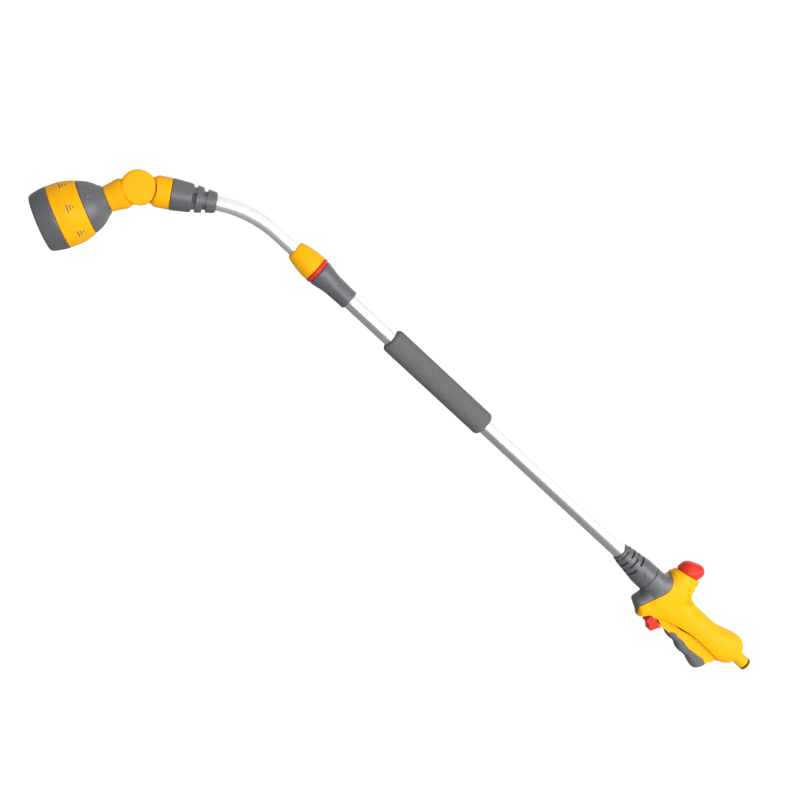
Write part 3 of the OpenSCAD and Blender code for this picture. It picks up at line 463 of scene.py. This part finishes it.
def handle():
    form = skin_x("form", GRIP)
    cut(form, skin_z("tower", TOWER), deck(), skin_x("saddle", SADDLE), skin_z("chin", CHIN), how="UNION")
    soften(form, 0.8, 16)
    hollow = skin_x("hollow", [r for r in GRIP if r[0] < -28], -WALL, 48)
    cut(hollow, skin_z("tower_in", TOWER[1:], -WALL, 48), deck(-WALL, -WALL, 48),
        skin_x("saddle_in", SADDLE, -WALL, 48), skin_z("chin_in", CHIN[2:], -WALL, 48), how="UNION")
    saddle = copy_mesh(form, "saddle")
    cut(saddle, saddle_side(-0.2), how="INTERSECT")
    cut(saddle, plate("socket_side", [(-186.9, -40), (-186.9, 40), (-260, 40), (-260, -40)], -40, 40),
        copy_mesh(hollow, "hollow_copy"), along(-170, -200, 0, 14.6),
        plate("mouth", [(-155, -60), (-125, -60), (-125, -30), (-155, -30)], -LOCK_HW - 1, LOCK_HW + 1))
    soften(saddle, 0.45, 2, 0.4)
    settle(saddle, "saddle_skin", "handle", LOOKS["grey"], ["front_saddle"])
    under = RIM + [(-48.4, -18.2), (-46.4, -18.8), (-46.4, -70), (-163, -70)]
    lever_way = [(-146, -45), (-46.4, -45), (-46.4, -11), (-100, -12.4), (-146, -16)]
    cut(form, saddle_side(0), plate("under", under, -40, 40),
        plate("lever_way", lever_way, -LEVER_HW - GAP, LEVER_HW + GAP), hollow)
    tail_z = -TUBE_Z
    cut(form, along(-15, -25.1, tail_z, 8.05), along(-20, -42, tail_z, 7.45),
        along(-28.7, -32.7, tail_z, 10.3),
        rod("spindle", deck_point(0, 0, -10), deck_point(0, 0, 10), 8.2))
    for side, node in ((-1, "handle_shell_near"), (1, "handle_shell_far")):
        half = copy_mesh(form, "half")
        cut(half, half_space(side), how="INTERSECT")
        cut(half, *grooves(side))
        soften(half, 0.45, 2, 0.4)
        settle(half, node.replace("handle_shell", "shell_skin"), "handle", LOOKS["yellow"], [node])
    bpy.data.objects.remove(form)


def grooves(side, depth=1.5, half=0.9, lean=0.14):
    """Four short comfort grooves and a dot behind the tower, cut to one depth under the skin."""
    reach = (8, 20) if side > 0 else (-20, -8)
    core = skin_x("core", GRIP, -depth, 48)
    cut(core, skin_z("core_tower", TOWER, -depth, 48), how="UNION")
    out = [across(-141.4, 21.7, 1.3, *reach)]
    for x, top, bottom in ((-138, 19, 12.5), (-133.7, 18, 7.6), (-129.3, 16, 7.4), (-125.1, 13.2, 7.6)):
        mid = (top + bottom) / 2
        corners = ((-half, bottom), (half, bottom), (half, top), (-half, top))
        shape = [(x + dx + lean * (z - mid), z) for dx, z in corners]
        out.append(plate("groove", shape, *reach))
    for groove in out:
        cut(groove, copy_mesh(core, "core_copy"))
    bpy.data.objects.remove(core)
    return out


def copy_mesh(obj, name):
    new = bpy.data.objects.new(name, obj.data.copy())
    bpy.context.scene.collection.objects.link(new)
    return new


def knob():
    """The thumb-shaped flow knob: a round skirt under a dome that is higher at the back."""
    bm = bmesh.new()
    for c, r in ((GAP, 14.3), (1.6, 14.8), (4.8, 14.8)):
        for i in range(64):
            t = 2 * math.pi * i / 64
            bm.verts.new(deck_point(r * math.cos(t), r * math.sin(t), c))
    for x, y, z, r in ((-144, 3, 46.3, 9.4), (-152, 1.8, 40.4, 11.6)):
        for side in (-1, 1):
            ball = bmesh.ops.create_icosphere(bm, subdivisions=4, radius=r)
            bmesh.ops.translate(bm, vec=(x, side * y, z + TUBE_Z), verts=ball["verts"])
    bmesh.ops.convex_hull(bm, input=bm.verts)
    mesh = bpy.data.meshes.new("knob")
    bm.to_mesh(mesh)
    bm.free()
    obj = bpy.data.objects.new("knob", mesh)
    bpy.context.scene.collection.objects.link(obj)
    soften(obj, 0.6, 3)
    cut(obj, rod("below", deck_point(0, 0, -40), deck_point(0, 0, GAP), 30),
        rod("socket", deck_point(0, 0, -1), deck_point(0, 0, 6.6), 5.05))
    soften(obj, 0.4, 3, 0.4)
    settle(obj, "knob_skin", "knob", LOOKS["red"], ["flow_knob"])


def trigger():
    pad = skin_x("pad", PAD[::-1], n=64)
    cut(pad, plate("core", PAD_CORE, -LEVER_HW - 0.05, LEVER_HW + 0.05))
    soften(pad, 0.4, 4, 0.5)
    settle(pad, "grip_pad", "trigger", LOOKS["soft_grey"], ["trigger_pad"])
    levers = (("trigger_lever", "trigger", "lever_skin"), ("trigger_lock", "catch", "catch_skin"))
    for node, body, name in levers:
        slot = SLOTS[node]
        settle(soften(copy_of(node), 0.4, 3, 0.4), name, body, LOOKS[slot], [node])


# ---------------------------------------------------------------- lance and head

JOINTS = {j["name"]: j for j in frame["joints"]}
# moulded pieces that get soft edges: node and body
MOULDED = (("collar_body", "handle"), ("collar_nut", "nut"), ("arm_socket", "gooseneck"),
           ("arm_knuckle", "gooseneck"), ("head_knuckle", "head"), ("rear_shell", "head"),
           ("selector_ring", "turret"), ("front_bezel", "turret"))


def moulded_pieces():
    for node, body in MOULDED:
        slot = SLOTS[node]
        settle(soften(copy_of(node), 0.5, 2, 0.35), node + "_skin", body, LOOKS[slot], [node])


def foam_grip(bore=9.56, corner=5.0, n=128):
    """The foam sleeve: full round ends and a skin that is a little uneven."""
    low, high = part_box("foam_sleeve")
    x0, x1, r = low[0] / MM - DATUM, high[0] / MM - DATUM, (high[2] - low[2]) / 2 / MM - 0.1
    arc = [math.pi / 24 * i for i in range(13)]
    bend = [(corner * (1 - math.cos(a)), corner * (1 - math.sin(a))) for a in arc]
    rows = [(x0, bore)] + [(x0 + dx, r - dr) for dx, dr in bend]
    rows += [(x0 + corner + (x1 - x0 - 2 * corner) * i / 60, r) for i in range(1, 60)]
    rows += [(x1 - dx, r - dr) for dx, dr in bend[::-1]] + [(x1, bore)]
    rings = []
    for x, radius in rows:
        ring = []
        for i in range(n):
            t = 2 * math.pi * i / n
            dent = 0
            if radius > bore:
                spot = Vector((x, r * math.cos(t), r * math.sin(t)))
                dent = 0.1 * noise.noise(spot / 14) + 0.06 * noise.noise(spot / 2.5) - 0.1
            ring.append((x, (radius + dent) * math.cos(t), TUBE_Z + (radius + dent) * math.sin(t)))
        rings.append(ring)
    verts, faces = skin(rings)
    last = len(rings) - 1
    faces = faces[2:] + [(last * n + j, last * n + (j + 1) % n, (j + 1) % n, j) for j in range(n)]
    sleeve = solid("foam", verts, faces)
    sleeve = settle(sleeve, "foam_grip", "handle", LOOKS["foam"], ["foam_sleeve"])


def valve_coil():
    """The valve spring, as one fixed steel piece on the handle; the real spring shortens towards its upper
    end as the stem lifts, but this copy does not.
    """
    coil = settle(copy_of("valve_spring"), "valve_coil", "handle", LOOKS["steel"], ["valve_spring"])
    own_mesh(coil)


def pattern_marks(patterns=7, first=-84, thick=0.35, proud=0.08):
    """Dark faces on the raised bars of the selector ring, one fan of three for each spray pattern."""
    joint = JOINTS["pattern_turn"]
    out, across_head = Vector(joint["axis"]), Vector((0, 1, 0))
    turn = Matrix((across_head.cross(out), across_head, out)).transposed()
    place = Vector(joint["pos_m"]) / MM - Vector((DATUM, 0, 0))
    marks = None
    for k in range(patterns):
        for r, z, half in ((33.5, 70, 2.5), (34.3, 73, 5), (34.9, 76, 7.5)):
            mid = math.radians(first + 360 / patterns * k)
            rings = []
            for i in range(9):
                t = mid + math.radians(half) * (i / 4 - 1) * 0.96
                inner, outer, low, high = r - thick, r + proud, z + 0.06, z + 1.14
                corners = ((inner, low), (outer, low), (outer, high), (inner, high))
                ring = [(a * math.cos(t), a * math.sin(t), b) for a, b in corners]
                rings.append([tuple(place + turn @ Vector(q)) for q in ring])
            bar = solid("mark", *skin(rings))
            if marks is None:
                marks = bar
            else:
                bm = bmesh.new()
                bm.from_mesh(marks.data)
                bm.from_mesh(bar.data)
                bm.to_mesh(marks.data)
                bm.free()
                bpy.data.objects.remove(bar)
    marks = settle(marks, "pattern_marks", "turret", LOOKS["grey"])
    for p in marks.data.polygons:
        p.use_smooth = False


handle()
knob()
trigger()
moulded_pieces()
foam_grip()
valve_coil()
pattern_marks()

# ---------------------------------------------------------------- stage, lights and camera


def stage_floor(drop=0.3, size=14.0):
    """A plain pale floor well under the wand."""
    low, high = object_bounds()
    mesh = bpy.data.meshes.new("floor")
    cx, cy, z = (low[0] + high[0]) / 2, 0.0, low[2] - drop
    h = size / 2
    mesh.from_pydata([(cx - h, cy - h, z), (cx + h, cy - h, z), (cx + h, cy + h, z), (cx - h, cy + h, z)],
                     [], [(0, 1, 2, 3)])
    floor = bpy.data.objects.new("floor", mesh)
    bpy.context.scene.collection.objects.link(floor)
    k = Look("floor_paper", 0.95, spec=0.1)
    k.colour((0.9, 0.9, 0.9, 1), (0.93, 0.93, 0.93, 1), 2)
    k.shader.inputs["Emission Color"].default_value = (1, 1, 1, 1)
    k.shader.inputs["Emission Strength"].default_value = 0.65
    mesh.materials.append(k.mat)
    floor.visible_glossy = False
    floor.visible_diffuse = False


def area_light(name, place, aim, size, watts):
    data = bpy.data.lights.new(name, "AREA")
    data.energy = watts
    data.size = size
    lamp = bpy.data.objects.new(name, data)
    bpy.context.scene.collection.objects.link(lamp)
    lamp.location = place
    lamp.rotation_euler = (Vector(aim) - Vector(place)).to_track_quat("-Z", "Y").to_euler()


def sky(t, toward, stops, strength):
    """A background that brightens towards one direction: (cosine to it, brightness) from far to near."""
    coord = t.nodes.new("ShaderNodeTexCoord")
    facing = t.nodes.new("ShaderNodeVectorMath")
    facing.operation = "DOT_PRODUCT"
    facing.inputs[1].default_value = Vector(toward).normalized()
    scale = t.nodes.new("ShaderNodeMapRange")
    scale.inputs["From Min"].default_value = -1.0
    ramp = t.nodes.new("ShaderNodeValToRGB")
    e = ramp.color_ramp.elements
    for k, (height, level) in enumerate(stops):
        stop = e[k] if k < 2 else e.new(1.0)
        stop.position = (height + 1) / 2
        stop.color = (level, level, level * 1.01, 1)
    back = t.nodes.new("ShaderNodeBackground")
    back.inputs["Strength"].default_value = strength
    t.links.new(coord.outputs["Generated"], facing.inputs[0])
    t.links.new(facing.outputs["Value"], scale.inputs["Value"])
    t.links.new(scale.outputs["Result"], ramp.inputs["Fac"])
    t.links.new(ramp.outputs["Color"], back.inputs["Color"])
    return back


def world():
    """White to the camera, an even fill for matt surfaces, and bright above and grey below for shiny ones."""
    w = bpy.data.worlds.new("studio")
    bpy.context.scene.world = w
    w.use_nodes = True
    t = w.node_tree
    t.nodes.clear()
    out = t.nodes.new("ShaderNodeOutputWorld")
    path = t.nodes.new("ShaderNodeLightPath")
    seen = t.nodes.new("ShaderNodeBackground")
    seen.inputs["Strength"].default_value = 1.05
    seen.inputs["Color"].default_value = (1, 1, 1, 1)
    fill = sky(t, (0.2, -0.5, 0.4), ((-0.5, 0.5), (0.6, 0.8)), 0.85)
    mirror = sky(t, (0.3, 0, 1), ((-0.4, 0.3), (0.0, 0.45), (0.5, 1.0)), 1.0)
    first = t.nodes.new("ShaderNodeMixShader")
    second = t.nodes.new("ShaderNodeMixShader")
    t.links.new(path.outputs["Is Glossy Ray"], first.inputs["Fac"])
    t.links.new(fill.outputs["Background"], first.inputs[1])
    t.links.new(mirror.outputs["Background"], first.inputs[2])
    t.links.new(path.outputs["Is Camera Ray"], second.inputs["Fac"])
    t.links.new(first.outputs["Shader"], second.inputs[1])
    t.links.new(seen.outputs["Background"], second.inputs[2])
    t.links.new(second.outputs["Shader"], out.inputs["Surface"])


def camera():
    """Level, 13 degrees towards the head, and rolled so that the wand runs down to the right."""
    data = bpy.data.cameras.new("camera")
    data.lens = 53.55
    data.sensor_width = 36.0
    data.clip_end = 50
    cam = bpy.data.objects.new("camera", data)
    bpy.context.scene.collection.objects.link(cam)
    azimuth, roll, distance = math.radians(13), math.radians(42.43), 1.3812
    aim = Vector((-0.5688 + DATUM * MM, 0, -0.0479))
    look = Vector((math.sin(azimuth), math.cos(azimuth), 0))
    level = Vector((math.cos(azimuth), -math.sin(azimuth), 0))
    up = Vector((0, 0, 1))
    right = level * math.cos(roll) + up * math.sin(roll)
    over = up * math.cos(roll) - level * math.sin(roll)
    place = aim - look * distance
    cam.matrix_world = Matrix((
        (right.x, over.x, -look.x, place.x),
        (right.y, over.y, -look.y, place.y),
        (right.z, over.z, -look.z, place.z),
        (0, 0, 0, 1)))
    bpy.context.scene.camera = cam


stage_floor()
area_light("key", (0.5, -1.7, 0.9), (-0.5, 0, 0), 1.2, 28)
area_light("front", (-0.45, -2.1, -0.1), (-0.7, 0, 0), 0.9, 17)
area_light("back", (0.2, 1.8, 1.2), (-0.55, 0, 0), 1.6, 8)
world()
camera()
bpy.context.scene.view_settings.view_transform = "Standard"
